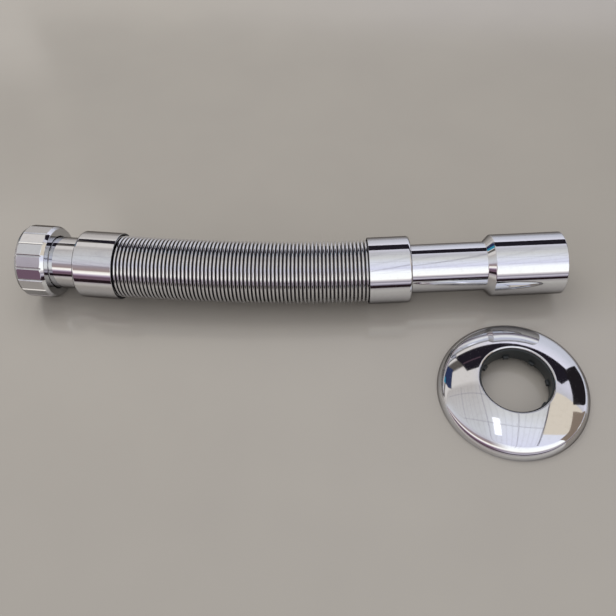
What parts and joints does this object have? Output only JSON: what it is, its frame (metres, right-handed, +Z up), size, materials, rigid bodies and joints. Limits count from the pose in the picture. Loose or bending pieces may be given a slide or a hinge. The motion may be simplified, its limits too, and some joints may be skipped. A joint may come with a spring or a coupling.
{
  "type": "flexible waste pipe",
  "caption": "Bright metal waste pipe: union nut and short neck, corrugated flexible middle, plain tail stepping up to a wider spigot, and a round wall rosette beside it.",
  "frame": {"origin": "centre of the face of the inlet washer, inside the union nut", "axes": "+X along the inlet axis into the pipe, +Z up from the table the pipe lies on, the bellows bows towards +Y"},
  "size_m": [0.3689, 0.1514, 0.0482],
  "materials": {
    "chrome": "bright polished chrome plate",
    "bellows_steel": "bright drawn corrugated metal",
    "rubber": "smooth black moulded rubber",
    "grip_plastic": "dark grey moulded plastic"
  },
  "bodies": {
    "inlet": {"inlet_neck": "chrome", "inlet_ferrule": "chrome", "inlet_seal": "rubber", "inlet_washer": "rubber", "rosette": "chrome", "rosette_grip_ring": "grip_plastic"},
    "nut": {"union_nut": "chrome"},
    "bellows": {"bellows": "bellows_steel"},
    "outlet": {"outlet_seal": "rubber", "outlet_ferrule": "chrome", "outlet_tail": "chrome"}
  },
  "joints": [
    {"name": "nut_spin", "type": "hinge", "parent": "inlet", "child": "nut", "pos_m": [0, 0, 0], "axis": [1, 0, 0], "continuous": true},
    {"name": "inlet_bend", "type": "hinge", "parent": "inlet", "child": "bellows", "pos_m": [0.09428, 0.00072, -0.00034], "axis": [0.0349, -0.9994, 0], "range_deg": [0, 45], "deforming": ["bellows"]},
    {"name": "outlet_bend", "type": "hinge", "parent": "bellows", "child": "outlet", "pos_m": [0.17623, 0.00645, -0.00181], "axis": [0.1045, -0.9945, 0], "range_deg": [0, 45], "deforming": ["bellows"]}
  ]
}
